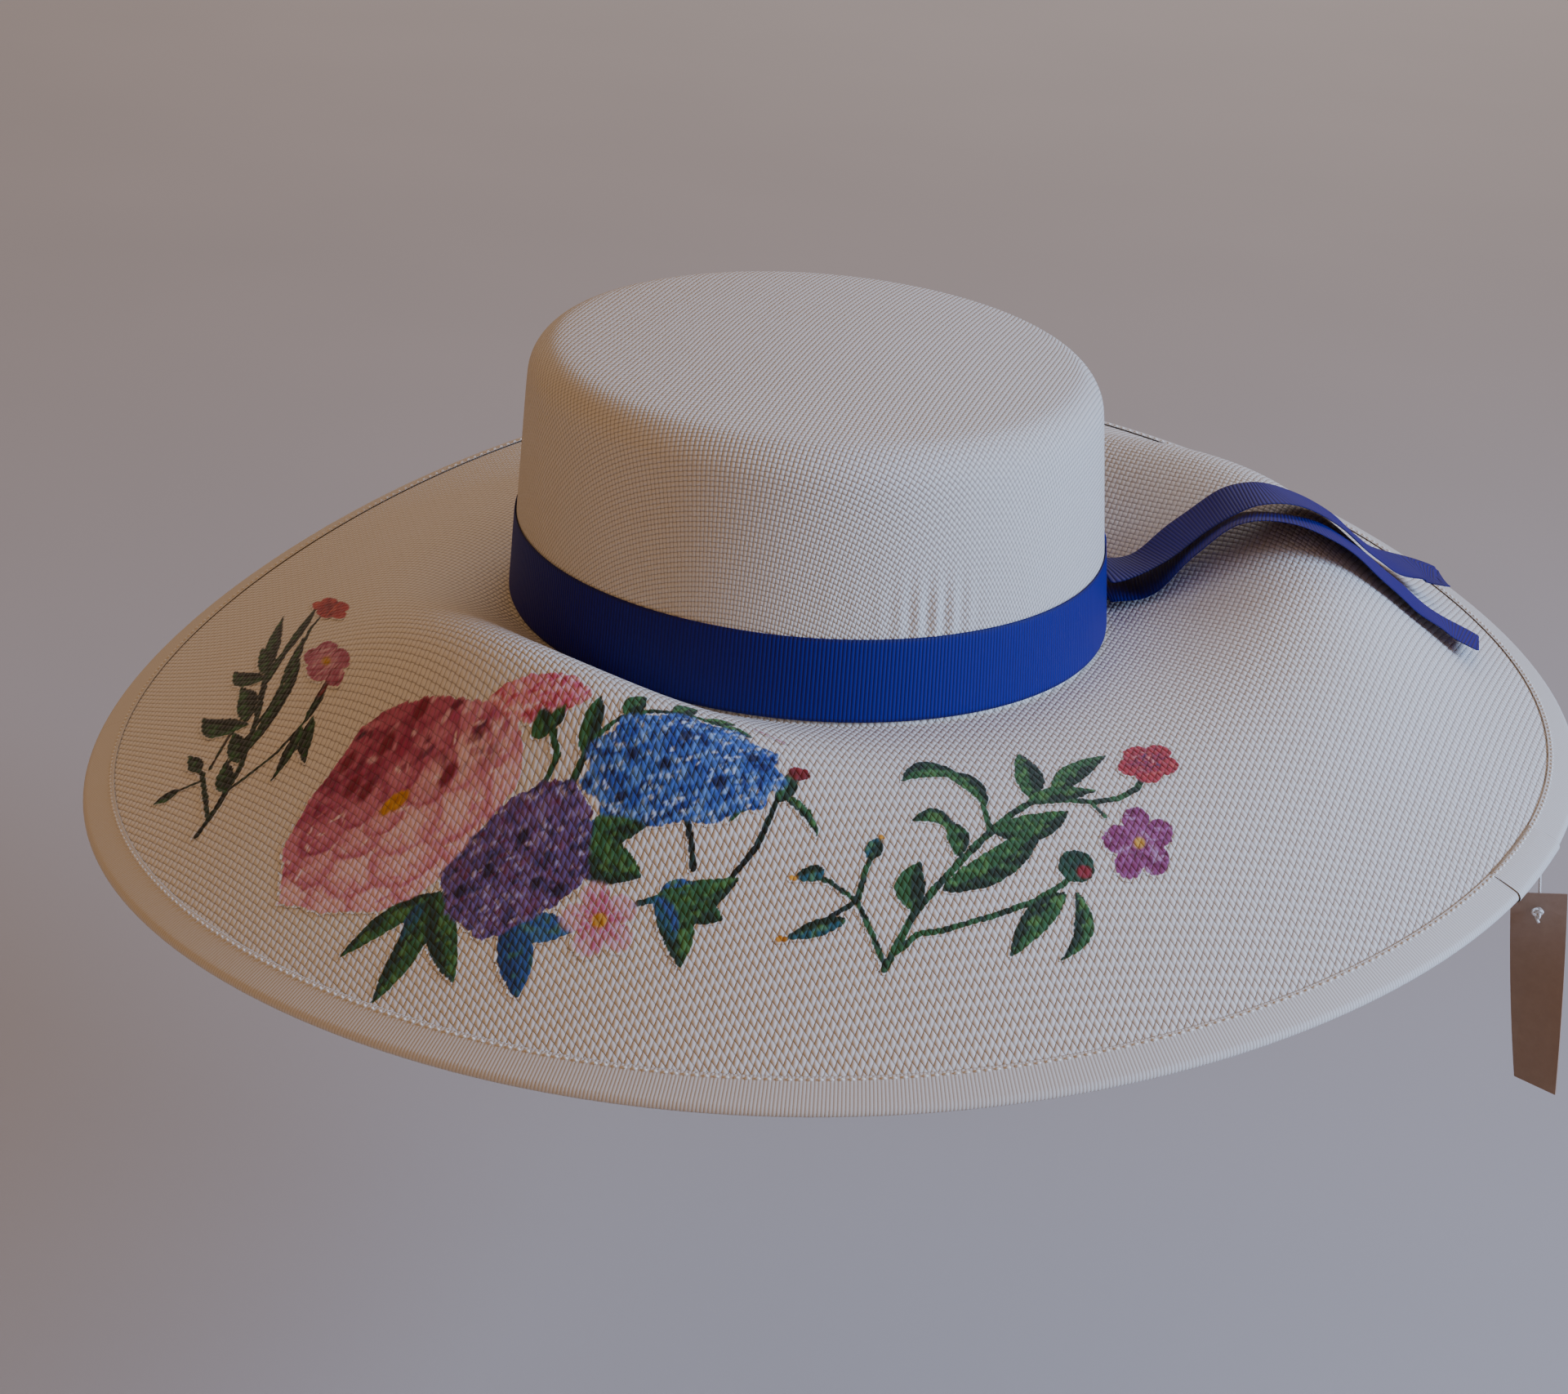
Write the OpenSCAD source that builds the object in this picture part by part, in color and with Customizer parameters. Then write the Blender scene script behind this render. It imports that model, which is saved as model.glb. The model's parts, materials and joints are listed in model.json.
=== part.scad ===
// Wide-brim picture hat: blocked straw crown and brim, wired and bound edge,
// ribbon band with two tails, sweatband and a hanging card tag.
// Origin: centre of the head opening at the headline. +Z up, front of the hat towards -Y.

/* [Head opening and crown] */
// Width of the crown's outside at the headline (left to right)
head_w = 179; // [150:1:215]
// Length of the crown's outside at the headline (front to back)
head_l = 201; // [170:1:240]
// Height from the headline to where the tip starts to dome
crown_h = 78; // [60:1:110]
// Extra height of the domed tip at its middle
tip_dome = 5; // [2:0.5:12]
// Radius of the rounded shoulder
shoulder_r = 12.5; // [8:0.5:18]
// Inward slope of the crown's side, in degrees
side_taper = 3.9; // [0:0.1:8]
// Sideways lean of the blocked crown, in mm per mm of height
crown_lean = -0.04; // [-0.08:0.01:0.08]
// Thickness of the crown's straw
crown_t = 1.2; // [0.8:0.1:2.5]

/* [Brim] */
// Diameter of the finished hat across its bound edge
brim_d = 447; // [400:1:520]
// Sideways offset of the brim's outline from the head's centre
brim_off_x = 9; // [0:1:14]
// Thickness of the brim's straw
brim_t = 1.2; // [0.8:0.1:2]
// Height of the turned-up collar inside the crown
collar_h = 14; // [8:1:20]
// Thickness of the collar
collar_t = 1; // [0.6:0.1:1.6]
// Mean height of the edge over the headline
edge_drop = -33.5; // [-50:0.5:-10]
// How much higher the edge is on the right than on the middle line
edge_lift_right = 20; // [0:1:30]
// How much higher the edge is at the back than on the middle line
edge_lift_back = 23; // [0:1:30]
// Saddle wave of the edge: lower at both sides, higher front and back
edge_saddle = 7.5; // [0:0.5:12]
// Three-lobed wave of the edge
edge_ripple = 3.9; // [0:0.1:6]
// Slope of the brim where it leaves the crown
root_slope = 0.05; // [-0.1:0.01:0.2]
// Mean slope of the brim at its edge
edge_slope = -0.43; // [-0.6:0.01:-0.2]

/* [Edge finish] */
// Width of the edge binding on each side of the brim
binding_w = 9.5; // [6:0.5:14]
// Thickness of the binding's ribbon
binding_t = 0.6; // [0.4:0.1:1]
// Diameter of the wire in the rolled edge
wire_d = 0.9; // [0.7:0.1:1.1]
// Length of the sleeve that joins the wire's ends
sleeve_len = 12; // [8:1:15]
// Wall of that sleeve
sleeve_wall = 0.12; // [0.08:0.01:0.15]
// Distance of the stitching from the outermost edge
stitch_in = 8.2; // [5:0.1:9]
// Diameter of the sewing thread
thread_d = 0.5; // [0.3:0.1:0.8]

/* [Hat ribbon] */
// Width of the grosgrain ribbon
ribbon_w = 24; // [18:1:30]
// Thickness of the ribbon
ribbon_t = 0.5; // [0.4:0.1:0.8]
// Angle of the band's join, counter-clockwise from the right side
join_angle = 10; // [5:1:14]
// Width of the keeper over the join, as an angle
keeper_arc = 15; // [12:1:20]
// Length cut away on the slanting end of the upper tail
upper_cut = 9; // [0:1:14]
// Length cut away on the slanting end of the lower tail
lower_cut = 2; // [0:1:10]

/* [Sweatband] */
// Height of the sweatband
sweatband_h = 28; // [20:1:40]
// Thickness of the sweatband
sweatband_t = 0.7; // [0.5:0.1:1.2]
// Width of the size label
label_w = 18; // [12:1:24]
// Height of the size label
label_h = 11; // [8:1:18]
// Thickness of the folded label
label_t = 0.5; // [0.3:0.1:0.8]

/* [Swing tag] */
// Width of the card
tag_w = 16; // [12:1:24]
// Length of the card
tag_l = 63.5; // [45:1:80]
// Thickness of the card
tag_t = 0.45; // [0.3:0.05:0.8]
// Radius of the hole for the string
tag_hole_r = 1.2; // [1:0.1:2]
// Distance from the card's top edge to the hole's centre
tag_hole_in = 5.5; // [4:0.5:9]
// Turn of the card round its string, in degrees from the X axis
tag_turn = -20; // [-90:1:90]
// Lean of the hanging string away from the hat's own axis, in degrees
tag_lean = 7.4; // [0:0.1:12]
// Distance from the top of the string down to the card's hole
string_drop = 30.5; // [20:1:40]
// Angle at which the string leaves the brim's edge
string_angle = -18.4; // [-60:0.1:60]
// Distance of the string from the outermost edge
string_in = 8.2; // [6.5:0.1:9]
// Diameter of the twine
string_d = 0.8; // [0.5:0.1:1.2]
// Radius of the knot in front of the card
knot_r = 1.6; // [1.5:0.1:2.4]

/* [Hidden] */

steps = 80;                 // flats round every ring
brim_steps = 12;            // flats from headline to edge
wire_joint_step = -6;       // the wire's ends meet on the flat that starts here
sleeve_fit = 0.03;          // clearance of the sleeve round the wire
gap = 0.15;                 // clearance between sewn layers
seat_gap = 0.3;             // clearance under the crown
string_gap = 0.45;          // room under the binding for the string's end to swing

head_a = head_w / 2;
head_b = head_l / 2;
edge_r = brim_d / 2;

// depth of each layer inside the crown's outside, at any height
crown_in = crown_t;
collar_out = crown_in + gap;
collar_in = collar_out + collar_t;
sweat_out = collar_in + gap;
sweat_in = sweat_out + sweatband_t;
// layers outside the crown have a negative depth
band_in = -0.1;
band_out = band_in - ribbon_t;
keeper_in = band_out - gap;
keeper_out = keeper_in - ribbon_t;

// the rolled edge: wire, straw and binding round it
leaf_in = brim_t / 2 + gap;             // inside of the binding, from the brim's middle
leaf_out = leaf_in + binding_t;
// the straw ends this far inside the outermost edge, clear of the wire's sleeve
straw_gap = leaf_out + wire_d / 2 + sleeve_fit + sleeve_wall + gap;

// lobes that the blocking gave the brim: height, angle, spread in degrees,
// place and spread as a share of the way out
lobes = [
    [17, 236, 34, 0.20, 0.16],   // ridge at the left front, close to the band
    [11, 215, 32, 0.33, 0.19],   // the same ridge running out to the left
    [31, 20, 44, 0.43, 0.26],    // hump on the right under the tails
];

// ribbon tails: share of the way out over the brim, angle, height over the brim, and the
// ribbon's sideways tilt; both start at the keeper
lower_root_z = 4;
lower_tail = [
    [0.108, 9.1, 2.7, 2], [0.190, 8.2, 8.8, -4], [0.278, 7.3, 11.0, -10],
    [0.380, 6.0, 6.7, -12], [0.475, 5.2, 4.3, -6], [0.571, 5.4, 2.7, 3],
    [0.660, 5.8, 2.7, 3], [0.743, 5.6, 3.5, -8], [0.824, 4.3, 5.5, -11],
];
upper_root_z = 10;
upper_tail = [
    [0.099, 11.2, 8.2, -12], [0.188, 12.2, 11.0, -6], [0.282, 12.1, 11.9, 0],
    [0.375, 11.7, 8.1, -3], [0.483, 12.8, 2.8, 5], [0.582, 14.5, 1.8, 16],
    [0.671, 16.5, 2.8, 15], [0.770, 18.3, 6.5, 2], [0.856, 17.2, 9.8, -8],
];
tail_substeps = 5;
tail_clear = 0.6;   // clearance from the keeper to the tails' roots

// the tag's string, in its hanging frame: distance behind the card's middle, and height.
// It leaves the binding, hangs behind the card, and comes forward through the hole.
string_route = [
    [0, 0], [0, -1.5], [0.02, -3.5], [0.08, -6], [0.16, -8.5], [0.25, -11], [0.34, -13.5],
    [0.44, -16], [0.54, -18.5], [0.63, -21], [0.7, -23.5], [0.75, -25.8], [0.8, -28],
    [0.76, -29], [0.56, -29.6], [0.2, -29.8], [-0.25, -29.8],
];

function cat_rom(p, q, r, s, t) =
    0.5 * (2 * q + (r - p) * t + (2 * p - 5 * q + 4 * r - s) * t * t
           + (3 * q - p - 3 * r + s) * t * t * t);
function spline(pts, n) = let (last = len(pts) - 1) concat(
    [for (i = [0 : last - 1], k = [0 : n - 1])
        cat_rom(i == 0 ? 2 * pts[0] - pts[1] : pts[i - 1], pts[i], pts[i + 1],
                i == last - 1 ? 2 * pts[last] - pts[last - 1] : pts[i + 2], k / n)],
    [pts[last]]);
function unit(v) = v / norm(v);
function turn_gap(a, b) = (a - b + 540) % 360 - 180;
function bell(x, w) = exp(-(x / w) * (x / w));

// ---- the crown's side and everything sewn along it ----
function side_inset(z) = z * tan(side_taper);
function oval(z, inset, th) = [
    (head_a - inset) * cos(th) + crown_lean * z, (head_b - inset) * sin(th), z];
function wall(z, depth, th) = oval(z, side_inset(max(z, 0)) + depth, th);

// ---- the brim's surface: u runs from 0 at the headline to 1 at the edge ----
function root_pt(th) = [head_a * cos(th), head_b * sin(th)];
function edge_pt(th) = [brim_off_x + edge_r * cos(th), edge_r * sin(th)];
function brim_reach(th) = norm(edge_pt(th) - root_pt(th));
function edge_height(th) = edge_drop + edge_lift_right * cos(th) + edge_lift_back * sin(th)
    - edge_saddle * cos(2 * th) - 0.7 * sin(2 * th) + cos(3 * th) - edge_ripple * sin(3 * th);
function edge_fall(th) = edge_slope + 0.07 * cos(th) + 0.11 * sin(th);
function lobe_height(u, th) = [for (p = lobes) p[0] * bell(turn_gap(th, p[1]), p[2])
    * (bell(u - p[3], p[4]) - bell(p[3], p[4]) * (1 - u) - bell(1 - p[3], p[4]) * u)]
    * [for (p = lobes) 1];
function brim_height(u, th) = let (reach = brim_reach(th))
    reach * root_slope * (u * u * u - 2 * u * u + u)
    + edge_height(th) * (3 * u * u - 2 * u * u * u)
    + reach * edge_fall(th) * (u * u * u - u * u)
    + lobe_height(u, th);
function brim_pt(u, th, lift) = let (p = root_pt(th) + (edge_pt(th) - root_pt(th)) * u)
    [p[0], p[1], brim_height(u, th) + lift];
// a point near the edge: t inwards from the outermost edge, z from the brim's middle
function edge_frame(t, z, th) =
    brim_pt(1 - t / brim_reach(th), th, z - brim_t / 2);
string_top = edge_frame(string_in, -leaf_out - string_gap, string_angle);

// ---- solids from rings of points ----
// rings of equal length; closed joins the last ring to the first
module skin(rings, closed) {
    n = len(rings);
    m = len(rings[0]);
    quads = [for (i = [0 : closed ? n - 1 : n - 2], j = [0 : m - 1])
        let (i2 = (i + 1) % n, j2 = (j + 1) % m)
        [i * m + j, i * m + j2, i2 * m + j2, i2 * m + j]];
    tris = [for (q = quads, h = [0, 1]) h == 0 ? [q[0], q[1], q[2]] : [q[0], q[2], q[3]]];
    caps = closed ? [] : [[for (j = [m - 1 : -1 : 0]) j],
                          [for (j = [0 : m - 1]) (n - 1) * m + j]];
    polyhedron(points = [for (r = rings, p = r) p], faces = concat(tris, caps));
}
// a section given by a function of the angle runs once round the hat
function angles(from, to, n) = [for (i = [0 : n]) from + (to - from) * i / n];
function full_turn() = [for (i = [0 : steps - 1]) 360 * i / steps];
// a strip of ribbon or fabric that stands against the crown's side
module upright_strip(z0, z1, depth_out, depth_in, turns, closed = true) {
    skin([for (th = turns) [wall(z0, depth_in, th), wall(z0, depth_out, th),
                            wall(z1, depth_out, th), wall(z1, depth_in, th)]], closed);
}
// a thin round thread or wire: c is the section's centre at an angle, r its radius
function round_section(c, th, r, n) = [for (k = [0 : n - 1])
    c + r * [cos(360 * k / n) * cos(th), cos(360 * k / n) * sin(th), sin(360 * k / n)]];

// ---- sub-parts ----
module crown() {
    side_top = crown_h - shoulder_r * sin(80);
    inset = side_inset(side_top);
    // [inset, height] up the side, round the shoulder and over the tip
    outer = concat([for (z = [seat_gap, side_top / 3, side_top * 2 / 3]) [side_inset(z), z]],
        [for (a = [0 : 16 : 80]) [inset + shoulder_r * (1 - cos(a)),
                                  side_top + shoulder_r * sin(a)]]);
    inner = concat([for (z = [seat_gap, side_top / 3, side_top * 2 / 3])
                       [side_inset(z) + crown_t, z]],
        [for (a = [0 : 16 : 80]) [inset + shoulder_r - (shoulder_r - crown_t) * cos(a),
                                  side_top + (shoulder_r - crown_t) * sin(a)]]);
    function tip_rings(start) = [for (s = [0.75, 0.5, 0.25]) [s, start[0],
        start[1] + tip_dome * (1 - s * s)]];
    function tip_ring(r) = [for (th = full_turn()) [
        r[0] * (head_a - r[1]) * cos(th) + crown_lean * r[2],
        r[0] * (head_b - r[1]) * sin(th), r[2]]];
    out_last = outer[len(outer) - 1];
    in_last = inner[len(inner) - 1];
    out_rings = concat([for (p = outer) [for (th = full_turn()) oval(p[1], p[0], th)]],
                       [for (r = tip_rings(out_last)) tip_ring(r)]);
    in_rings = concat([for (p = inner) [for (th = full_turn()) oval(p[1], p[0], th)]],
                      [for (r = tip_rings(in_last)) tip_ring(r)]);
    rings = concat([for (i = [len(in_rings) - 1 : -1 : 0]) in_rings[i]], out_rings);
    n = len(rings);
    middle = n * steps;
    color("ivory") polyhedron(
        points = concat([for (r = rings, p = r) p],
            [for (r = [in_last, out_last]) [crown_lean * (r[1] + tip_dome), 0, r[1] + tip_dome]]),
        faces = concat(
            [for (i = [0 : n - 2], j = [0 : steps - 1], h = [0, 1])
                let (j2 = (j + 1) % steps, a = i * steps, b = (i + 1) * steps)
                h == 0 ? [a + j, b + j2, a + j2] : [a + j, b + j, b + j2]],
            [for (j = [0 : steps - 1]) [middle, j, (j + 1) % steps]],
            [for (j = [0 : steps - 1]) [middle + 1, (n - 1) * steps + (j + 1) % steps,
                                        (n - 1) * steps + j]]));
}

module brim() {
    function section(th) = let (reach = 1 - straw_gap / brim_reach(th)) concat(
        [for (i = [brim_steps : -1 : 0]) brim_pt(reach * i / brim_steps, th, 0)],
        [wall(0, collar_out, th), wall(collar_h, collar_out, th),
         wall(collar_h, collar_in, th), wall(-brim_t, collar_in, th)],
        [for (i = [0 : brim_steps]) brim_pt(reach * i / brim_steps, th, -brim_t)]);
    color("ivory") skin([for (th = full_turn()) section(th)], true);
}

function wire_section(th, r) = round_section(edge_frame(leaf_out, 0, th), th, r, 6);
module brim_edge_wire() {
    color("silver") skin([for (th = full_turn()) wire_section(th, wire_d / 2)], true);
}

module edge_wire_joiner() {
    // a straight sleeve in the middle of one of the ring's flats, where the wire's ends meet
    from = wire_joint_step * 360 / steps;
    to = from + 360 / steps;
    flat = norm(edge_frame(leaf_out, 0, to) - edge_frame(leaf_out, 0, from));
    half = sleeve_len / 2 / flat;
    function section(f, r) = let (a = wire_section(from, r), b = wire_section(to, r))
        [for (k = [0 : 5]) a[k] + (b[k] - a[k]) * f];
    inner = wire_d / 2 + sleeve_fit;
    outer = inner + sleeve_wall;
    color("silver") skin([section(0.5 - half, outer), section(0.5 + half, outer),
                          section(0.5 + half, inner), section(0.5 - half, inner)], true);
}

module brim_edge_binding() {
    function fold(r, from, to, th) = [for (a = angles(from, to, 8))
        edge_frame(leaf_out - r * cos(a), r * sin(a), th)];
    function section(th) = concat(
        [edge_frame(binding_w, leaf_in, th), edge_frame(binding_w, leaf_out, th)],
        fold(leaf_out, 90, -90, th),
        [edge_frame(binding_w, -leaf_out, th), edge_frame(binding_w, -leaf_in, th)],
        fold(leaf_in, -90, 90, th));
    color("ivory") skin([for (th = full_turn()) section(th)], true);
}

module brim_edge_stitching() {
    color("white") skin([for (th = full_turn())
        round_section(edge_frame(stitch_in, leaf_out + 0.1 + thread_d / 2, th), th,
                      thread_d / 2, 4)], true);
}

band_z = 1.2;   // lower edge of the band over the headline
module hat_band() {
    color("mediumblue") upright_strip(band_z, band_z + ribbon_w, band_out, band_in, full_turn());
}

module band_keeper() {
    lip = 0.4;   // the keeper turns in above and below the band by this much more than a gap
    low = band_z - gap;
    high = band_z + ribbon_w + gap;
    function section(th) = [
        wall(low, band_in, th), wall(low - lip, band_in, th), wall(low - lip, keeper_out, th),
        wall(high + lip, keeper_out, th), wall(high + lip, band_in, th), wall(high, band_in, th),
        wall(high, keeper_in, th), wall(low, keeper_in, th)];
    color("mediumblue") skin([for (th = angles(join_angle - keeper_arc / 2,
                                               join_angle + keeper_arc / 2, 8))
        section(th)], false);
}

// a ribbon that starts at the keeper and follows a route over the brim; cut slants its far end
function tail_root(z) = let (p = wall(z, keeper_out - tail_clear, join_angle)) [p[0], p[1], z, 0];
root_edge = unit(wall(0, 0, join_angle + 1) - wall(0, 0, join_angle - 1));
module tail(root_z, route, cut) {
    pts = spline(concat([tail_root(root_z)],
        [for (r = route) let (p = brim_pt(r[0], r[1], r[2])) [p[0], p[1], p[2], r[3]]]),
        tail_substeps);
    n = len(pts);
    function at(i) = [pts[i][0], pts[i][1], pts[i][2]];
    function along(i) = unit(at(min(i + 1, n - 1)) - at(max(i - 1, 0)));
    // the root's edge is parallel to the keeper
    function across(i) = i == 0 ? root_edge : let (t = along(i), side = unit([-t[1], t[0], 0]), up = cross(t, side))
        side * cos(pts[i][3]) + up * sin(pts[i][3]);
    skin([for (i = [0 : n - 1]) let (
            t = along(i), w = across(i) * ribbon_w / 2, f = unit(cross(t, across(i))) * ribbon_t / 2,
            slant = i == n - 1 ? t * cut : [0, 0, 0])
        [at(i) - w + f, at(i) + w + f - slant, at(i) + w - f - slant, at(i) - w - f]], false);
}

module ribbon_tail_upper() {
    color("mediumblue") tail(upper_root_z, upper_tail, upper_cut);
}

module ribbon_tail_lower() {
    color("mediumblue") tail(lower_root_z, lower_tail, lower_cut);
}

sweat_z = 0.4;   // lower edge of the sweatband over the headline
module sweatband() {
    color("linen") upright_strip(sweat_z, sweat_z + sweatband_h, sweat_out, sweat_in, full_turn());
}

module sweatband_stitching() {
    seam_z = sweat_z + 2.5;
    color("white") skin([for (th = full_turn())
        round_section(wall(seam_z, sweat_in + 0.1 + thread_d / 2, th), th, thread_d / 2, 4)], true);
}

module size_label() {
    // sewn in at the back, in the middle of the sweatband's height
    half = label_w / 2 / head_a * 180 / PI;
    low = sweat_z + (sweatband_h - label_h) / 2;
    color("white") upright_strip(low, low + label_h, sweat_in + gap, sweat_in + gap + label_t,
                                 angles(90 - half, 90 + half, 6), false);
}

// the hanging tag's own frame: origin at the string's top, -Z down the string,
// X across the card, Y through it towards its back
module hanging() {
    translate(string_top) rotate([0, -tag_lean, 0]) rotate([0, 0, tag_turn]) children();
}

module swing_tag() {
    color("tan") hanging() difference() {
        translate([-tag_w / 2, -tag_t / 2, tag_hole_in - string_drop - tag_l])
            cube([tag_w, tag_t, tag_l]);
        translate([0, 0, -string_drop]) rotate([90, 0, 0])
            cylinder(h = tag_t + 2, r = tag_hole_r, center = true, $fn = 48);
    }
}

knot_y = -(tag_t / 2 + knot_r + gap);   // the knot's centre, in front of the card
module tag_string() {
    route = spline([for (p = string_route) [0, p[0], p[1]]], 2);
    n = len(route);
    function along(i) = unit(route[min(i + 1, n - 1)] - route[max(i - 1, 0)]);
    color("white") hanging() skin([for (i = [0 : n - 1]) let (u = cross(along(i), [1, 0, 0]))
        [for (k = [0 : 7]) route[i] + string_d / 2 * (cos(45 * k) * [1, 0, 0] - sin(45 * k) * u)]],
        false);
}

module tag_knot() {
    color("white") hanging() translate([0, knot_y, -string_drop])
        sphere(r = knot_r, $fn = 24);
}

crown();
brim();
brim_edge_wire();
edge_wire_joiner();
brim_edge_binding();
brim_edge_stitching();
hat_band();
band_keeper();
ribbon_tail_upper();
ribbon_tail_lower();
sweatband();
sweatband_stitching();
size_label();
swing_tag();
tag_string();
tag_knot();
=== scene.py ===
import json
import math
import random

import bmesh
import bpy
import numpy as np
from mathutils import Matrix, Vector
from mathutils.bvhtree import BVHTree


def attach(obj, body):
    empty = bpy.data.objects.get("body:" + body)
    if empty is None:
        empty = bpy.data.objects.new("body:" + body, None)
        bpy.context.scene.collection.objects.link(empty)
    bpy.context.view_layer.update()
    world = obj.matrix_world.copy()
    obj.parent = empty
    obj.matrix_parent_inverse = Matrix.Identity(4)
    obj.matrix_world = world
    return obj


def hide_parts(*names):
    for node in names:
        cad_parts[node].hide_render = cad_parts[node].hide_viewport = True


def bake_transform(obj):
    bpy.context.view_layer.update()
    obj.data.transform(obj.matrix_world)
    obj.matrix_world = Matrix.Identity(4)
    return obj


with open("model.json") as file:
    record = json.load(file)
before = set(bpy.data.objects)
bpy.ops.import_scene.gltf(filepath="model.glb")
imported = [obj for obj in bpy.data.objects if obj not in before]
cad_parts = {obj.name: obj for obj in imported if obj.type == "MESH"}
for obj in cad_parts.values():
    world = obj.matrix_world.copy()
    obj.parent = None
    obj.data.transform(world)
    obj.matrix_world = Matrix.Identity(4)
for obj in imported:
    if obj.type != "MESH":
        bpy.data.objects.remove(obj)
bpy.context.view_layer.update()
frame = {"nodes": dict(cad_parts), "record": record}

MM = 0.001

# ---------------------------------------------------------------- sizes, in mm
BRIM_MIDDLE = Vector((9.0, 0.0))    # centre of the brim's round outline
BRIM_RADIUS = 223.5
STITCH_IN = 8.2                     # stitching, inwards from the edge
STITCH_PITCH = 2.6                  # lockstitch, about 8 to the inch
SHOULDER = 12.5                     # radius of the crown's shoulder
TIP_HEIGHT = 83.0
CROWN_HALF = (89.5, 100.5)          # the crown's half width and half length at the headline
CROWN_LEAN = 4.5                    # the crown's side leans inwards by this much to its shoulder
TIP_DOME = 5.0                      # the tip's rise over the shoulder's top
CROWN_REACH = 95.0                  # mean radius that ribbons round the crown are measured at
STRAND = 1.42                       # from one strand of the crown's weave to the next
CROWN_WEAVE_TURN = 14.0             # degrees, the crown's weave against the hat's front
TUCKS_AT = -69.0                    # degrees round the hat, where the crown has small tucks
OVERLAP = (-31.0, -23.0)            # degrees round the brim, where the binding is lapped
CARD_TOP, CARD_LENGTH = -25.0, 63.5   # swing tag, along its string
TAG_TWIST = (10.0, -32.0)           # degrees, at the card's top and bottom edge
STRING_LEAN = -7.4                  # degrees, the string's lean outwards
CARD_TURN = -20.0                   # degrees, the card's turn on its string
FLOOR = -0.30                       # metres


# ---------------------------------------------------------------- small tools
def colour(hex_code, alpha=1.0):
    """sRGB hex to the linear values that shaders and attributes use."""
    parts = [int(hex_code[i:i + 2], 16) / 255 for i in (0, 2, 4)]
    linear = [c / 12.92 if c <= 0.04045 else ((c + 0.055) / 1.055) ** 2.4 for c in parts]
    return (*linear, alpha)


def add(tree, kind, inputs=None, **settings):
    """Adds a shader node with its settings and links, and gives its first output."""
    made = tree.nodes.new(kind)
    for name, value in settings.items():
        setattr(made, name, value)
    for key, value in (inputs or {}).items():
        if isinstance(value, bpy.types.NodeSocket):
            tree.links.new(value, made.inputs[key])
        else:
            made.inputs[key].default_value = value
    return made.outputs[0]


def maths(tree, operation, *values):
    """A maths node on values or other nodes' outputs."""
    return add(tree, "ShaderNodeMath", dict(enumerate(values)), operation=operation)


def mix_colours(tree, share, first, second, **settings):
    """The colour between first and second at share."""
    return add(tree, "ShaderNodeMix", {0: share, 6: first, 7: second}, data_type="RGBA",
               **settings).node.outputs[2]


def object_noise(tree, scale, detail=2.0, **more):
    """Noise that stays with the object."""
    at = add(tree, "ShaderNodeTexCoord").node.outputs["Object"]
    return add(tree, "ShaderNodeTexNoise", {"Vector": at, "Scale": scale, "Detail": detail, **more})


def bumped(tree, skin, height, strength, distance):
    """Raises a material's surface by height; distance is in metres."""
    bump = add(tree, "ShaderNodeBump", {"Height": height, "Strength": strength,
                                        "Distance": distance})
    tree.links.new(bump, skin.inputs["Normal"])


def new_material(name):
    """A material, its node tree and its main shader."""
    made = bpy.data.materials.new(name)
    made.use_nodes = True
    return made, made.node_tree, made.node_tree.nodes["Principled BSDF"]


def cad_copy(name):
    """A merged copy of a CAD node's mesh, with its triangles joined into quads."""
    bm = bmesh.new()
    bm.from_mesh(frame["nodes"][name].data)
    bmesh.ops.remove_doubles(bm, verts=bm.verts, dist=1e-5)
    bmesh.ops.join_triangles(bm, faces=bm.faces, angle_face_threshold=math.radians(50),
                             angle_shape_threshold=math.radians(170))
    bmesh.ops.recalc_face_normals(bm, faces=bm.faces)
    return bm


def finish_piece(bm, name, material, body, replaced=(), levels=0):
    """Makes the object from its mesh, smooth, with its material and body, and hides the CAD nodes that
    it stands for.
    """
    mesh = bpy.data.meshes.new(name)
    bm.to_mesh(mesh)
    bm.free()
    mesh.shade_smooth()
    piece = bpy.data.objects.new(name, mesh)
    bpy.context.scene.collection.objects.link(piece)
    mesh.materials.append(material)
    if levels:
        rounded = piece.modifiers.new("rounded", "SUBSURF")
        rounded.levels = levels
        rounded.render_levels = levels
    settle(piece, body, replaced)
    return piece


def settle(piece, body, replaced=()):
    """Gives a piece its body and the CAD nodes that it stands for."""
    if body:
        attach(piece, body)
    if replaced:
        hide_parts(*replaced)


def lay_uv(bm, name, place):
    """Lays a UV map with place(point, middle of the face), both in metres."""
    layer = bm.loops.layers.uv.new(name)
    for face in bm.faces:
        middle = face.calc_center_median()
        for loop in face.loops:
            loop[layer].uv = place(loop.vert.co, middle)


def turn_near(point, middle):
    """The point's angle round the hat, kept within half a turn of the face's own angle."""
    a = math.atan2(point.y, point.x)
    m = math.atan2(middle.y, middle.x)
    return m + (a - m + math.pi) % (2 * math.pi) - math.pi


def surface_of(piece):
    """The piece's final surface, for casting rays at."""
    return BVHTree.FromObject(piece, bpy.context.evaluated_depsgraph_get())


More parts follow.
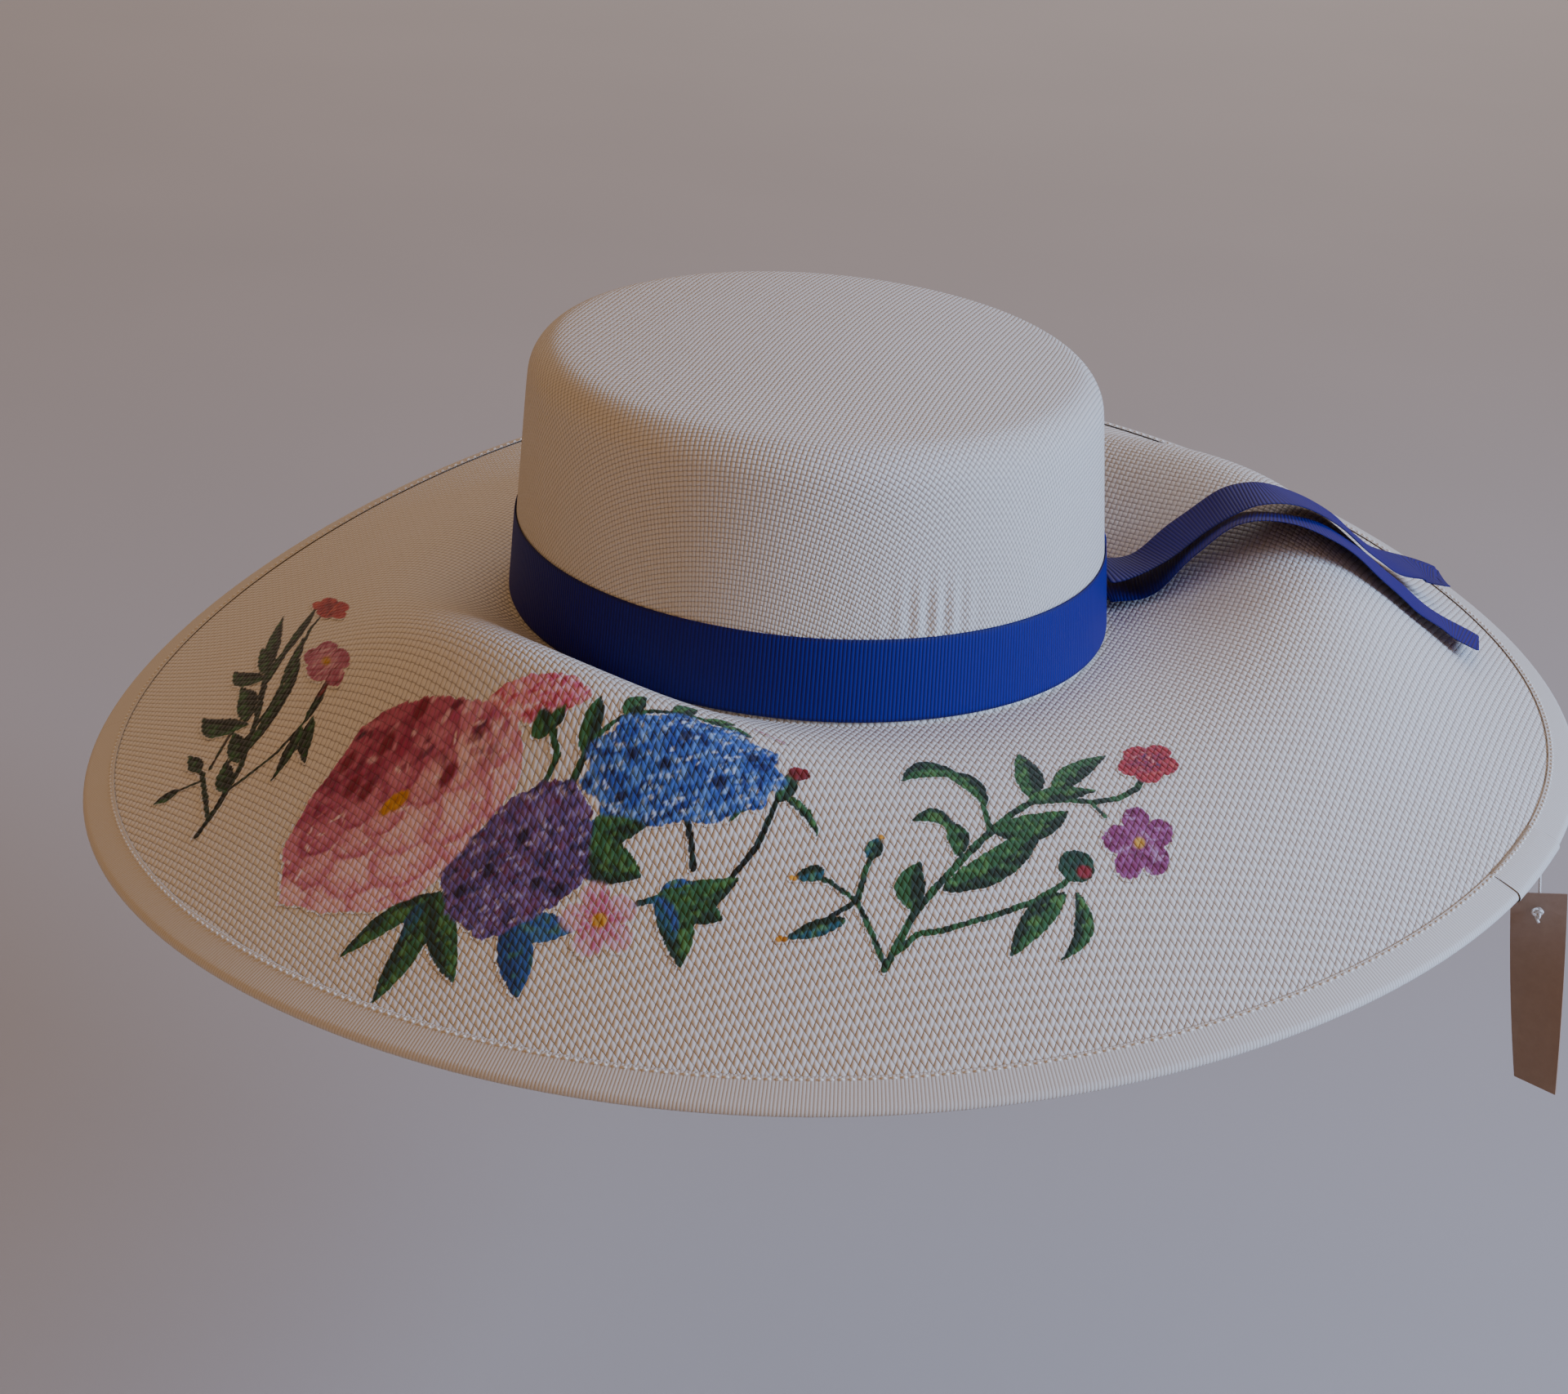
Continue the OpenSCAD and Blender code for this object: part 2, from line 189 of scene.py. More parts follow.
# ---------------------------------------------------------------- camera
def place_camera():
    """A long lens, looking down at the hat's front and rolled a little."""
    lift, roll = math.radians(21.9), math.radians(4.5)
    at = Vector((-0.00494, -0.97068, 0.35757))
    forward = Vector((0, math.cos(lift), -math.sin(lift)))
    down = forward.cross(Vector((1, 0, 0)))
    across = math.cos(roll) * Vector((1, 0, 0)) - math.sin(roll) * down
    below = math.sin(roll) * Vector((1, 0, 0)) + math.cos(roll) * down
    camera = bpy.data.objects.new("camera", bpy.data.cameras.new("camera"))
    bpy.context.scene.collection.objects.link(camera)
    turn = Matrix((across, -below, -forward)).transposed().to_4x4()
    camera.matrix_world = Matrix.Translation(at) @ turn
    camera.data.lens = 78.75
    camera.data.sensor_width = 36
    camera.data.clip_start = 0.01
    bpy.context.scene.camera = camera


place_camera()


# ---------------------------------------------------------------- materials
def cotton_twine():
    """Bleached cotton, twisted: matt white with fine slanting bands."""
    made, tree, skin = new_material("cotton_twine_twisted")
    at = add(tree, "ShaderNodeTexCoord").node.outputs["Object"]
    twist = add(tree, "ShaderNodeTexWave", {"Vector": at, "Scale": 900.0, "Distortion": 2.0},
                bands_direction="DIAGONAL")
    skin.inputs["Base Color"].default_value = colour("E9E7E1")
    skin.inputs["Roughness"].default_value = 0.9
    bumped(tree, skin, twist, 0.5, 0.0001)
    return made


def weave_height(tree, across, along):
    """Plain weave: the height of crossing strands, from two thread counts."""
    a = maths(tree, "SINE", maths(tree, "MULTIPLY", across, math.pi))
    b = maths(tree, "SINE", maths(tree, "MULTIPLY", along, math.pi))
    over = maths(tree, "GREATER_THAN", maths(tree, "MULTIPLY", a, b), 0.0)
    first = maths(tree, "POWER", maths(tree, "ABSOLUTE", a), 0.6)
    second = maths(tree, "POWER", maths(tree, "ABSOLUTE", b), 0.6)
    up = maths(tree, "MULTIPLY", first, maths(tree, "MULTIPLY_ADD", second, 0.55, 0.45))
    side = maths(tree, "MULTIPLY", second, maths(tree, "MULTIPLY_ADD", first, 0.55, 0.45))
    return add(tree, "ShaderNodeMix", {0: over, 2: side, 3: up}, data_type="FLOAT")


def straw_nodes(tree, skin):
    """Colour and height of ivory paper straw; gives the colour output and the weave's height."""
    counts = add(tree, "ShaderNodeUVMap", uv_map="weave")
    split = add(tree, "ShaderNodeSeparateXYZ", {0: counts}).node
    height = weave_height(tree, split.outputs[0], split.outputs[1])
    # creamier and greyer strands, a few threads long
    fleck = add(tree, "ShaderNodeTexNoise", {"Vector": counts, "Scale": 0.45, "Detail": 3.0,
                                             "Roughness": 0.7})
    strand = mix_colours(tree, fleck, colour("D3CFC6"), colour("EDE7DA"))
    tone = mix_colours(tree, object_noise(tree, 22.0), strand, colour("E4E0DA"))
    # painted shade: the low places between strands take a darker colour
    gap_shade = add(tree, "ShaderNodeMapRange", {0: height, 1: 0.05, 2: 0.62, 3: 0.0, 4: 1.0})
    woven = mix_colours(tree, gap_shade, colour("9A9082"), tone)
    skin.inputs["Roughness"].default_value = 0.72
    skin.inputs["Specular IOR Level"].default_value = 0.35
    skin.inputs["Sheen Weight"].default_value = 0.15
    bumped(tree, skin, height, 0.75, 0.0006)
    return woven, height


def paper_straw():
    """Paper straw, plain weave: ivory, matt, each crossing shows as a small bump."""
    made, tree, skin = new_material("paper_straw_plain_weave")
    woven, _ = straw_nodes(tree, skin)
    tree.links.new(woven, skin.inputs["Base Color"])
    return made


def acrylic_on_straw():
    """Acrylic paint brushed on the weave: it fills the strands' tops and breaks up at its edges."""
    made, tree, skin = new_material("acrylic_paint_on_straw")
    woven, height = straw_nodes(tree, skin)
    paint = add(tree, "ShaderNodeAttribute", attribute_name="paint")
    cover = add(tree, "ShaderNodeAttribute", attribute_name="cover").node.outputs["Fac"]
    lifted = maths(tree, "MULTIPLY_ADD", height, 0.55, cover)
    shown = add(tree, "ShaderNodeMapRange", {0: lifted, 1: 0.62, 2: 0.95, 3: 0.0, 4: 1.0})
    # painted shade: the paint is darker in the gaps between strands
    deep = add(tree, "ShaderNodeMapRange", {0: height, 1: 0.0, 2: 0.6, 3: 0.55, 4: 1.0})
    shaded = mix_colours(tree, 1.0, paint, deep, blend_type="MULTIPLY")
    mixed = mix_colours(tree, shown, woven, shaded)
    tree.links.new(mixed, skin.inputs["Base Color"])
    return made


def grosgrain(name, base, dark, edge, pitch, sheen, rough, strength, width):
    """Grosgrain ribbon: heavy weft ribs across it, a plain selvage at both edges.
    Its UV map holds mm along the ribbon and mm across it."""
    made, tree, skin = new_material(name)
    counts = add(tree, "ShaderNodeUVMap", uv_map="ribbon")
    split = add(tree, "ShaderNodeSeparateXYZ", {0: counts}).node
    turned = maths(tree, "MULTIPLY", split.outputs[0], math.pi / pitch)
    rib = maths(tree, "ABSOLUTE", maths(tree, "SINE", turned))
    # fine warp threads between the ribs
    grain = add(tree, "ShaderNodeTexNoise", {"Vector": counts, "Scale": 2.5, "Detail": 3.0})
    height = maths(tree, "MULTIPLY_ADD", grain, 0.3, rib)
    # painted shade: the grooves between ribs take the darker colour
    ribbed = add(tree, "ShaderNodeMapRange", {0: height, 1: 0.15, 2: 0.9, 3: 0.0, 4: 1.0})
    cloth = mix_colours(tree, ribbed, colour(dark), colour(base))
    # distance from the ribbon's middle shows the selvage
    off = maths(tree, "ABSOLUTE", maths(tree, "SUBTRACT", split.outputs[1], width / 2))
    rim = add(tree, "ShaderNodeMapRange", {0: off, 1: width / 2 - 1.1, 2: width / 2 - 0.7,
                                           3: 0.0, 4: 0.8})
    tree.links.new(mix_colours(tree, rim, cloth, colour(edge)), skin.inputs["Base Color"])
    skin.inputs["Roughness"].default_value = rough
    skin.inputs["Sheen Weight"].default_value = sheen
    skin.inputs["Sheen Roughness"].default_value = 0.35
    skin.inputs["Specular IOR Level"].default_value = 0.25
    bumped(tree, skin, height, strength, 0.0003)
    return made


def polyester_thread():
    """Spun polyester sewing thread: ivory with a faint lustre."""
    made, tree, skin = new_material("polyester_sewing_thread")
    tone = mix_colours(tree, object_noise(tree, 1500.0), colour("D8D2C4"), colour("F4F1E9"))
    tree.links.new(tone, skin.inputs["Base Color"])
    skin.inputs["Roughness"].default_value = 0.55
    return made


def tinned_wire():
    """Tinned steel millinery wire: its shine varies finely."""
    made, tree, skin = new_material("tinned_steel_drawn")
    rough = add(tree, "ShaderNodeMapRange", {0: object_noise(tree, 700.0), 1: 0.3, 2: 0.7,
                                             3: 0.3, 4: 0.5})
    tree.links.new(rough, skin.inputs["Roughness"])
    skin.inputs["Base Color"].default_value = colour("C4C4C0")
    skin.inputs["Metallic"].default_value = 1.0
    return made


def kraft_card():
    """Uncoated kraft card: brown, matt, with fine fibres and soft clouds."""
    made, tree, skin = new_material("kraft_card_uncoated")
    fibre = object_noise(tree, 320.0, 6.0, Roughness=0.7)
    tone = mix_colours(tree, fibre, colour("8E7562"), colour("B89E88"))
    tone = mix_colours(tree, object_noise(tree, 45.0), tone, colour("9E8470"))
    tree.links.new(tone, skin.inputs["Base Color"])
    skin.inputs["Roughness"].default_value = 0.85
    bumped(tree, skin, fibre, 0.25, 0.0001)
    return made


def woven_label():
    """Polyester satin label tape: smooth white with a fine grain."""
    made, tree, skin = new_material("satin_label_tape")
    tone = mix_colours(tree, object_noise(tree, 1200.0), colour("E4E3DF"), colour("F7F7F5"))
    tree.links.new(tone, skin.inputs["Base Color"])
    skin.inputs["Roughness"].default_value = 0.4
    return made


# ribs are drawn a third wider than real grosgrain's 0.8 mm, so that they show
BLUE = grosgrain("royal_blue_grosgrain", "0D0F7C", "090A4A", "0A0C5A", 1.1, 0.0, 0.55, 0.5, 24.0)
IVORY = grosgrain("ivory_grosgrain_binding", "D6D1C8", "BDB7AA", "CFC9BC", 1.0, 0.1, 0.6, 0.35,
                  40.0)
CREAM = grosgrain("cream_grosgrain_sweatband", "DDD6C6", "BDB5A2", "C9C1AE", 1.1, 0.2, 0.7, 0.4,
                  28.0)
STRAW = paper_straw()
THREAD = polyester_thread()


# ---------------------------------------------------------------- the tag and its string
def joint(name):
    return next(j for j in frame["record"]["behaviour"]["joints"] if j["name"] == name)


def string_top():
    """Where the string leaves the binding: the middle of the CAD string's top end."""
    points = [v.co for v in frame["nodes"]["tag_string"].data.vertices]
    high = max(p.z for p in points)
    end = [p for p in points if p.z > high - 0.3 * MM]
    return sum(end, Vector()) / len(end)


def hanging():
    """The hanging frame: -Z down the string, X across the card, Y towards its back."""
    return (Matrix.Translation(string_top())
            @ Matrix.Rotation(math.radians(STRING_LEAN), 4, "Y")
            @ Matrix.Rotation(math.radians(CARD_TURN), 4, "Z"))


def tube(name, points, radius, material):
    """A round cord through points, all in metres."""
    line = bpy.data.curves.new(name, "CURVE")
    line.dimensions = "3D"
    spline = line.splines.new("POLY")
    spline.points.add(len(points) - 1)
    for target, point in zip(spline.points, points):
        target.co = (*point, 1)
    line.bevel_depth = radius
    line.bevel_resolution = 4
    line.use_fill_caps = True
    line.materials.append(material)
    piece = bpy.data.objects.new(name, line)
    bpy.context.scene.collection.objects.link(piece)
    return piece


def make_tag():
    """The twine, its knot and the card that hangs on it."""
    place = hanging()
    route = [(0, 0), (0, -1.5), (0.02, -3.5), (0.08, -6), (0.16, -8.5), (0.25, -11),
             (0.34, -13.5), (0.44, -16), (0.54, -18.5), (0.63, -21), (0.7, -23.5),
             (0.75, -25.8), (0.8, -28), (0.76, -29), (0.56, -29.6), (0.2, -29.8), (-0.25, -29.8)]
    points = [place @ Vector((0, y * MM, z * MM)) for y, z in route]
    twine = cotton_twine()
    string = tube("tag_twine", points, 0.4 * MM, twine)
    settle(string, "tag_line", ("tag_string",))

    # an overhand knot in front of the card, with its loose end
    middle = Vector((0, -1.975, -30.5))
    loops = []
    for k in range(40):
        a = 2 * math.pi * k / 36 + 2.2
        loops.append(middle + Vector((0.5 * (math.sin(a) + 2 * math.sin(2 * a)),
                                      0.45 * math.sin(3 * a),
                                      0.5 * (math.cos(a) - 2 * math.cos(2 * a)))))
    last = loops[-1]
    loops += [last + Vector((0.15 * k, -0.05 * k, -0.32 * k)) for k in range(1, 7)]
    knot = tube("tag_overhand_knot", [place @ (p * MM) for p in loops], 0.42 * MM, twine)
    settle(knot, "tag_line", ("tag_knot",))

    # the card: cut across many times, then twisted about the string's line
    bm = cad_copy("swing_tag")
    back = place.inverted()
    for k in range(1, 26):
        bmesh.ops.bisect_plane(bm, geom=bm.verts[:] + bm.edges[:] + bm.faces[:],
                               plane_co=place @ Vector((0, 0, (CARD_TOP - CARD_LENGTH * k / 26) * MM)),
                               plane_no=place.to_3x3() @ Vector((0, 0, 1)))
    bmesh.ops.triangulate(bm, faces=[f for f in bm.faces if len(f.verts) > 4])
    for v in bm.verts:
        p = back @ v.co
        share = (CARD_TOP - p.z / MM) / CARD_LENGTH
        turn = TAG_TWIST[0] + (TAG_TWIST[1] - TAG_TWIST[0]) * share
        p = Matrix.Rotation(math.radians(turn), 3, "Z") @ p
        p.y += 2.2 * MM * (share - 0.08) ** 2
        v.co = place @ p
    card = finish_piece(bm, "kraft_tag", kraft_card(), "tag_card", ("swing_tag",))
    for polygon in card.data.polygons:
        polygon.use_smooth = False


make_tag()


# ---------------------------------------------------------------- crown and brim
def crown_counts(point, _):
    """The cloth over a block: distances from the tip's middle, turned with the weave."""
    x, y, z = point / MM
    reach = math.hypot(x, y)
    half_x, half_y = CROWN_HALF
    a = math.atan2(y / half_y, x / half_x)
    side = math.hypot(half_x * math.cos(a), half_y * math.sin(a)) - SHOULDER - CROWN_LEAN
    drop = max(0.0, TIP_HEIGHT - TIP_DOME - z)
    if reach > side:
        if drop < SHOULDER:
            reach = side + SHOULDER * math.acos(max(-1.0, 1 - drop / SHOULDER))
        else:
            reach = side + SHOULDER * math.pi / 2 + drop - SHOULDER
    turn = math.atan2(y, x) + math.radians(CROWN_WEAVE_TURN)
    return reach * math.cos(turn) / STRAND, reach * math.sin(turn) / STRAND


def brim_counts(point, _):
    """The brim's cloth is stretched on the bias, so its threads don't cross at a right angle."""
    x, y = point.x / MM, point.y / MM
    return 0.54 * x - 0.175 * y, 0.42 * x + 0.345 * y


def near_tucks(edge):
    """True for an edge of the crown's front, low down, where the cloth has small tucks."""
    middle = (edge.verts[0].co + edge.verts[1].co) / 2
    angle = math.degrees(math.atan2(middle.y, middle.x))
    return abs(angle - TUCKS_AT) < 18 and 14 < middle.z / MM < 52


def make_straw():
    """The crown, with its small tucks, and the brim."""
    bm = cad_copy("crown")
    lay_uv(bm, "weave", crown_counts)
    bmesh.ops.subdivide_edges(bm, edges=[e for e in bm.edges if near_tucks(e)], cuts=5,
                              use_grid_fill=True)
    # tucks 0.8 mm deep, a little over 3 degrees apart
    for v in bm.verts:
        angle = math.degrees(math.atan2(v.co.y, v.co.x))
        z = v.co.z / MM
        ease = math.exp(-((angle - TUCKS_AT) / 6) ** 2) * math.exp(-((z - 30) / 9) ** 2)
        v.co += v.normal * (0.8 * MM * ease * math.cos(math.radians(angle) * 110))
    finish_piece(bm, "straw_crown", STRAW, "hat", ("crown",), 2)
    bm = cad_copy("brim")
    lay_uv(bm, "weave", brim_counts)
    return finish_piece(bm, "straw_brim", STRAW, "hat", ("brim",), 2)


BRIM_SURFACE = surface_of(make_straw())


# ---------------------------------------------------------------- painted flowers
# Places on the brim are mm from the head's centre, seen from above. A flower's two half
# widths are its reach to the right and to the back.
GREEN, DARK_GREEN, LEAF_LIGHT, TEAL = "2E5F33", "1B3324", "5E9148", "1F5560"


def smooth(low, high, value):
    t = np.clip((value - low) / (high - low), 0, 1)
    return t * t * (3 - 2 * t)


def clouds(x, y, size, seed):
    """Soft blotches from 0 to 1, about size mm across."""
    grid = np.random.default_rng(seed).random((61, 61))
    i, j = np.floor(x / size).astype(int), np.floor(y / size).astype(int)
    s, t = smooth(0, 1, x / size - i), smooth(0, 1, y / size - j)
    low = grid[i % 61, j % 61] * (1 - s) + grid[(i + 1) % 61, j % 61] * s
    high = grid[i % 61, (j + 1) % 61] * (1 - s) + grid[(i + 1) % 61, (j + 1) % 61] * s
    return low * (1 - t) + high * t


class Brushwork:
    """Paint on a grid of points: each one's colour and how well it is covered."""

    def __init__(self, x, y):
        self.x, self.y = x, y
        self.tone = np.tile(np.array(colour("808080")[:3]), (len(x), 1))
        self.cover = np.zeros(len(x))
        self.wobble = (clouds(x, y, 1.6, 5) - 0.5) * 0.9 + (clouds(x, y, 0.7, 6) - 0.5) * 0.5
        self.seed = 10

    def lay(self, mask, first, second=None, blend=None, strength=1.0):
        """Lays one colour, or two mixed by blend, where mask is 1."""
        mixed = np.array(colour(first)[:3])[None, :]
        if second is not None:
            mixed = mixed + (np.array(colour(second)[:3])[None, :] - mixed) * blend[:, None]
        mask = mask * strength
        self.tone += (mixed - self.tone) * np.where(self.cover < 0.02, np.sign(mask), mask)[:, None]
        self.cover = np.maximum(self.cover, mask)

    def from_line(self, start, end):
        """Each point's distance from the straight line between two places."""
        dx, dy = end[0] - start[0], end[1] - start[1]
        px, py = self.x - start[0], self.y - start[1]
        t = np.clip((px * dx + py * dy) / (dx * dx + dy * dy), 0, 1)
        return np.hypot(px - t * dx, py - t * dy)

    def stroke(self, points, width, first=GREEN, second=DARK_GREEN):
        """A stem along points, with two greens on the brush."""
        best = np.full(len(self.x), 1e3)
        for start, end in zip(points, points[1:]):
            best = np.minimum(best, self.from_line(start, end))
        self.seed += 1
        self.lay(smooth(0.3, -0.3, best - width / 2 - self.wobble * 0.35), first, second,
                 smooth(0.3, 0.7, clouds(self.x, self.y, 2.2, self.seed)))

    def leaf(self, base, tip, width, bend=0.0, first=GREEN, second=DARK_GREEN, light=LEAF_LIGHT,
             blunt=0.8):
        """A leaf from base to tip; bend bows it to its left."""
        dx, dy = tip[0] - base[0], tip[1] - base[1]
        length = math.hypot(dx, dy)
        along = ((self.x - base[0]) * dx + (self.y - base[1]) * dy) / length ** 2
        inside = np.clip(along, 0, 1)
        off = ((self.y - base[1]) * dx - (self.x - base[0]) * dy) / length
        off = off - bend * 4 * inside * (1 - inside)
        half = width / 2 * np.sin(math.pi * inside ** 0.8) ** blunt
        mask = smooth(0.35, -0.35, np.abs(off) - half - self.wobble * 0.5)
        mask = mask * ((along > -0.02) & (along < 1.02)) * (half > 0.05)
        self.seed += 1
        grain = clouds(self.x * 0.8 + off, self.y, 1.8, self.seed)
        self.lay(mask, first, second, smooth(0.35, 0.65, grain * 0.6 + 0.4 * (off < 0)))
        self.lay(mask * smooth(0.55, 0.8, clouds(self.x, self.y, 1.5, self.seed + 500))
                 * (off > -half * 0.4), light, strength=0.55)

    def outline(self, points):
        """1 inside a closed outline of points and 0 outside it, soft at its edge."""
        best, inside = np.full(len(self.x), 1e3), np.zeros(len(self.x), bool)
        for start, end in zip(points, points[1:] + points[:1]):
            best = np.minimum(best, self.from_line(start, end))
            if start[1] != end[1]:
                dx, dy = end[0] - start[0], end[1] - start[1]
                crossed = (self.y < start[1]) != (self.y < end[1])
                inside ^= crossed & (self.x < start[0] + (self.y - start[1]) * dx / dy)
        return smooth(0.5, -0.5, np.where(inside, -best, best) - self.wobble * 1.2)

    def bloom_space(self, middle, right, back):
        """Distance and angle from a flower's middle, in its own tilted round."""
        area = right[0] * back[1] - right[1] * back[0]
        px, py = self.x - middle[0], self.y - middle[1]
        a = (px * back[1] - py * back[0]) / area
        b = (py * right[0] - px * right[1]) / area
        return np.hypot(a, b), np.arctan2(b, a)

    def bloom(self, middle, right, back, petals, outer, inner, heart=None, turn=0.0,
              depth=0.28, strength=1.0):
        """An open flower with round petals and a dab of another colour at its heart."""
        r, a = self.bloom_space(middle, right, back)
        lobe = np.abs(np.cos(petals * (a - turn) / 2))
        edge = 1 - depth + depth * lobe ** 0.6
        mask = smooth(0.07, -0.07, r - edge - self.wobble * 0.06)
        self.seed += 1
        streak = clouds(a * 9 + 40, r * 3 + 5, 1.0, self.seed)
        self.lay(mask, outer, inner, smooth(0.75, 0.25, r + (streak - 0.5) * 0.9), strength)
        self.lay(mask * smooth(0.35, 0.05, lobe) * smooth(0.1, 0.5, r), inner, strength=0.6)
        if heart:
            self.lay(smooth(0.24, 0.14, r), heart)
        return mask

    def petal(self, clip, middle, radius, light, mid, rim):
        """A nearly round petal, paler at its heart, with a darker line at its rim."""
        px, py = self.x - middle[0], (self.y - middle[1]) / 0.9
        r = np.hypot(px, py) / radius + self.wobble * 0.16
        self.seed += 1
        streak = clouds(np.arctan2(py, px) * 7 + 40, r * 2 + 5, 1.0, self.seed)
        mask = clip * smooth(1.05, 0.95, r)
        self.lay(mask, light, mid, smooth(0.25, 1.0, r + (streak - 0.5) * 0.8))
        self.lay(mask * smooth(0.13, 0.04, np.abs(r - 0.92)), rim, strength=0.6)

    def dabs(self, mask_of, count, box, size, tones, seed, squash=0.8):
        """Short brush dabs scattered over an area, each in one of the tones."""
        pick = random.Random(seed)
        for _ in range(count):
            mx, my = pick.uniform(box[0], box[2]), pick.uniform(box[1], box[3])
            turn, reach = pick.uniform(0, math.pi), size * pick.uniform(0.6, 1.2)
            tone = pick.choice(tones)
            near = (np.abs(self.x - mx) < reach) & (np.abs(self.y - my) < reach)
            if not near.any():
                continue
            px, py = self.x[near] - mx, self.y[near] - my
            a = px * math.cos(turn) + py * math.sin(turn)
            b = (py * math.cos(turn) - px * math.sin(turn)) / squash / 0.6
            spot = smooth(1.0, 0.6, np.hypot(a, b) / reach + self.wobble[near] * 0.4) * mask_of[near]
            mixed = np.array(colour(tone)[:3])[None, :]
            self.tone[near] += (mixed - self.tone[near]) * (spot * 0.9)[:, None]


def paint_left_spray(art):
    """The dark sprig at the far left, with two small flowers and buds."""
    ink, deep = "1E3A28", "101C16"
    art.stroke([(-166, -98), (-162, -89), (-158, -75), (-157, -54), (-159, -22)], 1.9, ink, deep)
    art.stroke([(-160, -83), (-152, -80), (-147, -78), (-140, -72), (-138, -68)], 1.3, ink, deep)
    art.stroke([(-159, -62), (-153, -50), (-150, -30), (-148, -8)], 1.5, ink, deep)
    art.stroke([(-164, -92), (-167, -80), (-170, -68), (-173, -62)], 1.4, ink, deep)
    art.stroke([(-170, -71), (-177, -70)], 1.2, ink, "3A2A1E")
    art.stroke([(-168, -67), (-166, -58), (-164, -50)], 1.1, ink, "3A2A1E")
    for base, tip, width, bend in (
            ((-158, -28), (-162, 25), 5, 1), ((-156, -24), (-150, 14), 4.5, -1),
            ((-157, -34), (-153, -10), 3.5, 1), ((-158, -30), (-172, -6), 5.5, 2),
            ((-158, -28), (-165, 2), 4.5, 0), ((-152, -44), (-150, -14), 4, -1),
            ((-158, -70), (-148, -30), 6, -2.5), ((-159, -54), (-177, -30), 7, 3),
            ((-160, -52), (-167, -24), 6, -1), ((-159, -72), (-164, -52), 5, 0),
            ((-160, -84), (-163, -66), 5, 1), ((-138, -72), (-137, -91), 4.2, -1),
            ((-141, -72), (-147, -90), 4.5, 1), ((-171, -66), (-177, -52), 4, 0),
            ((-176, -70), (-184, -71), 5, 0), ((-140, -73), (-135, -60), 3.5, 0)):
        art.leaf(base, tip, width, bend, ink, deep, "3A7A42", 1.15)
    art.stroke([(-137, -64), (-135, -60)], 2.6, "7A2430", "4A1E24")
    art.stroke([(-148, -10), (-146, -2)], 1.2, ink, deep)
    shape = art.bloom((-144, 0), (8, -16), (-2, 14), 5, "B8404A", "8A2A3E", None, 0.4)
    art.dabs(shape, 60, (-153, -22, -135, 20), 2.6, ["C4584E", "7A2036", "D06A60", "9A3048"], 21, 0.5)
    shape = art.bloom((-138, -48), (8.5, -11.5), (-2.5, 15), 5, "A85478", "C07A98", None, 0.2)
    art.dabs(shape, 80, (-148, -66, -128, -30), 2.4, ["7C2040", "C890A8", "9A3A60", "D8A8B8"], 22, 0.5)
    art.lay(smooth(0.26, 0.12, art.bloom_space((-138, -48), (8.5, -11.5), (-2.5, 15))[0]), "C09030")


def paint_peony(art):
    """The big pink peony: deep magenta at its upper left, paler streaked lower petals."""
    edge = [(-136, -139), (-138, -119), (-133, -105), (-126, -97), (-122, -91), (-112, -92),
            (-101, -98), (-86, -108), (-77, -116), (-73, -125), (-75, -132), (-82, -138),
            (-89, -146), (-97, -151), (-108, -153), (-124, -147)]
    whole = art.outline(edge)
    grain = clouds(art.x * 0.7 + art.y * 0.4, art.y, 2.4, 31)
    art.lay(whole, "CC7C92", "DDA3AE", grain)
    rounds = (((-130, -137), 9), ((-119, -143), 9), ((-107, -147), 9), ((-95, -146), 9),
              ((-85, -138), 8), ((-79, -128), 8), ((-82, -118), 7), ((-91, -109), 8),
              ((-102, -102), 8), ((-113, -97), 7), ((-123, -99), 7), ((-130, -108), 8),
              ((-134, -121), 9), ((-125, -130), 8), ((-115, -136), 9), ((-102, -138), 9),
              ((-91, -130), 9), ((-90, -119), 7), ((-100, -111), 7), ((-113, -105), 7),
              ((-123, -111), 7), ((-126, -120), 7), ((-116, -126), 7), ((-103, -129), 8),
              ((-98, -120), 6), ((-108, -114), 6), ((-117, -117), 6), ((-110, -124), 5))
    for place, radius in rounds:
        # the petals get paler from the upper left to the lower right
        pale = min(max((-place[1] - 100 + 0.45 * (place[0] + 107)) / 34, 0), 0.99)
        light, mid, rim = (("B65A7A", "9C3560", "7C1C44"), ("CB7E96", "B25676", "98385E"),
                           ("DDA4B0", "C97E93", "AE5270"), ("E8C0C4", "D898A6", "BC6680"))[int(pale * 4)]
        art.petal(whole, place, radius * 1.15, light, mid, rim)
    dark = smooth(-128, -100, art.y + 0.25 * (art.x + 107)) * whole
    box = (-136, -128, -78, -92)
    art.dabs(dark, 70, box, 3.6, ["8E1F4C", "A62C5A", "B44A74", "C77390", "7A1840"], 3)
    art.dabs(dark, 90, box, 2.0, ["6B1238", "D08AA4", "4C2040", "E3B5C4", "A03A64"], 4)
    art.dabs(whole, 150, (-138, -152, -73, -112), 2.0,
             ["C47A90", "E8C0C6", "D898A6", "C87088", "EED2D4"], 8, 0.35)
    for x, y in ((-104, -99), (-113, -102), (-124, -100), (-121, -109), (-94, -121), (-117, -113)):
        r, _ = art.bloom_space((x, y), (2.6, 0.6), (0.4, 3.2))
        art.lay(smooth(1.1, 0.6, r + art.wobble * 0.3) * whole, "7C1034", strength=0.95)
    r, _ = art.bloom_space((-108, -121), (4.2, 1.0), (-0.6, 2.6))
    art.lay(smooth(1.0, 0.75, r + art.wobble * 0.3), "D9A030", "B87A20", clouds(art.x, art.y, 1, 3))


